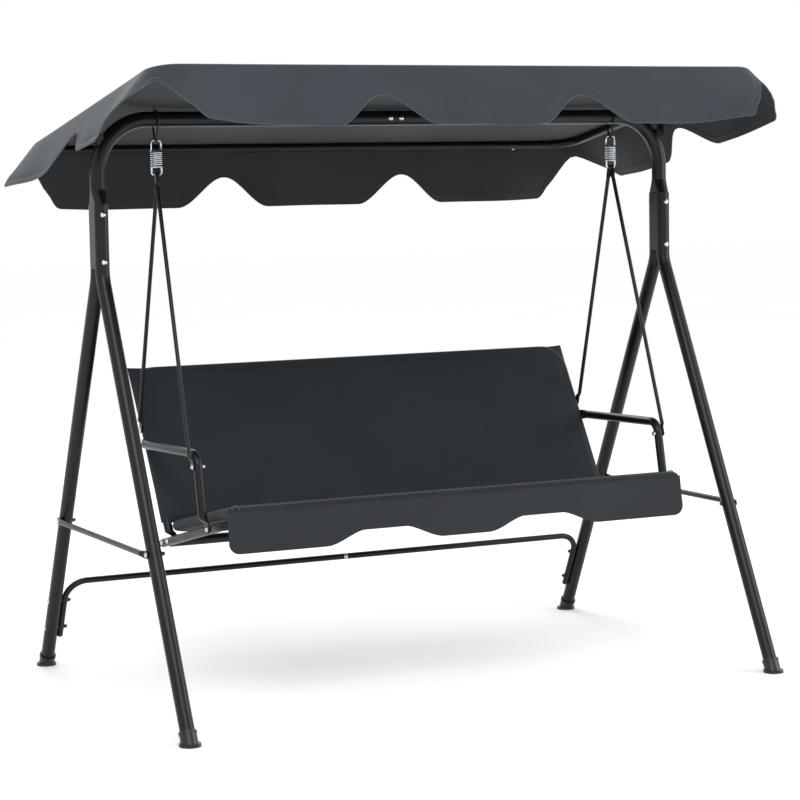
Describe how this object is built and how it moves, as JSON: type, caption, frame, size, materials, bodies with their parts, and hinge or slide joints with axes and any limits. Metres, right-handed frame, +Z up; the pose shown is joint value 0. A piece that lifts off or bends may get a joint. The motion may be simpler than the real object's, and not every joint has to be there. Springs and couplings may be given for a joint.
{
  "type": "glider swing",
  "caption": "Three seat garden swing with a padded bench hung on two coil springs from an A-frame, under a tilting canopy.",
  "frame": {"origin": "middle of the footprint on the floor", "axes": "+X along the beam, -Y is the front that a sitter faces, +Z up"},
  "size_m": [1.719, 1.105, 1.5334],
  "materials": {
    "powder_coat": "satin powder coat, near black blue grey",
    "black_plastic": "glossy moulded black plastic",
    "zinc_fastener": "bright zinc plated steel",
    "spring_steel": "bright zinc plated spring wire",
    "bare_steel": "plain drawn steel tube",
    "canopy_fabric": "coated woven polyester, slate grey",
    "seat_fabric": "padded woven polyester, dark slate grey"
  },
  "bodies": {
    "frame": {"front_leg_left": "powder_coat", "front_leg_right": "powder_coat", "rear_leg_left": "powder_coat", "rear_leg_right": "powder_coat", "foot_front_left": "black_plastic", "foot_front_right": "black_plastic", "foot_rear_left": "black_plastic", "foot_rear_right": "black_plastic", "beam_left": "powder_coat", "beam_right": "powder_coat", "beam_sleeve": "bare_steel", "side_tie_left": "powder_coat", "side_tie_right": "powder_coat", "stretcher_left": "powder_coat", "stretcher_right": "powder_coat", "canopy_bracket_left": "powder_coat", "canopy_bracket_right": "powder_coat", "bracket_saddle_left": "black_plastic", "bracket_saddle_right": "black_plastic", "spring_ring_left": "powder_coat", "spring_ring_right": "powder_coat", "leg_bolts": "zinc_fastener", "beam_bolts": "zinc_fastener", "tie_bolts": "zinc_fastener", "stretcher_bolts": "zinc_fastener", "bracket_bolts": "zinc_fastener", "pivot_bolts": "zinc_fastener", "cap_nuts": "black_plastic", "lock_nuts": "zinc_fastener"},
    "canopy": {"canopy_arm_left": "powder_coat", "canopy_arm_right": "powder_coat", "canopy_front_tube": "powder_coat", "canopy_rear_tube": "powder_coat", "canopy_screws": "zinc_fastener", "canopy_top": "canopy_fabric", "valance_front": "canopy_fabric", "valance_rear": "canopy_fabric", "valance_left": "canopy_fabric", "valance_right": "canopy_fabric"},
    "springs": {"spring_left": "spring_steel", "spring_right": "spring_steel"},
    "spring_hooks": {"spring_hook_left": "spring_steel", "spring_hook_right": "spring_steel"},
    "seat": {"hanger_front_left": "powder_coat", "hanger_front_right": "powder_coat", "hanger_rear_left": "powder_coat", "hanger_rear_right": "powder_coat", "armrest_left": "powder_coat", "armrest_right": "powder_coat", "seat_frame_left": "powder_coat", "seat_frame_right": "powder_coat", "seat_rear_tube": "powder_coat", "seat_sleeves": "bare_steel", "back_frame_left": "powder_coat", "back_frame_right": "powder_coat", "seat_pad": "seat_fabric", "back_pad": "seat_fabric", "seat_valance": "seat_fabric", "seat_bolts": "zinc_fastener", "seat_nuts": "zinc_fastener"}
  },
  "joints": [
    {"name": "canopy_tilt", "type": "hinge", "parent": "frame", "child": "canopy", "pos_m": [0, 0, 1.4385], "axis": [1, 0, 0], "range_deg": [-10, 20]},
    {"name": "swing", "type": "hinge", "parent": "frame", "child": "springs", "pos_m": [0, 0, 1.368], "axis": [1, 0, 0], "range_deg": [-20, 20]},
    {"name": "bounce", "type": "slide", "parent": "springs", "child": "spring_hooks", "axis": [0, 0, -1], "range_m": [0, 0.03], "stiffness_N_per_m": 70000, "springref_m": -0.003, "deforming": ["spring_left", "spring_right"]},
    {"name": "seat_rock", "type": "hinge", "parent": "spring_hooks", "child": "seat", "pos_m": [0, 0, 1.28575], "axis": [1, 0, 0], "range_deg": [-8, 8]}
  ]
}
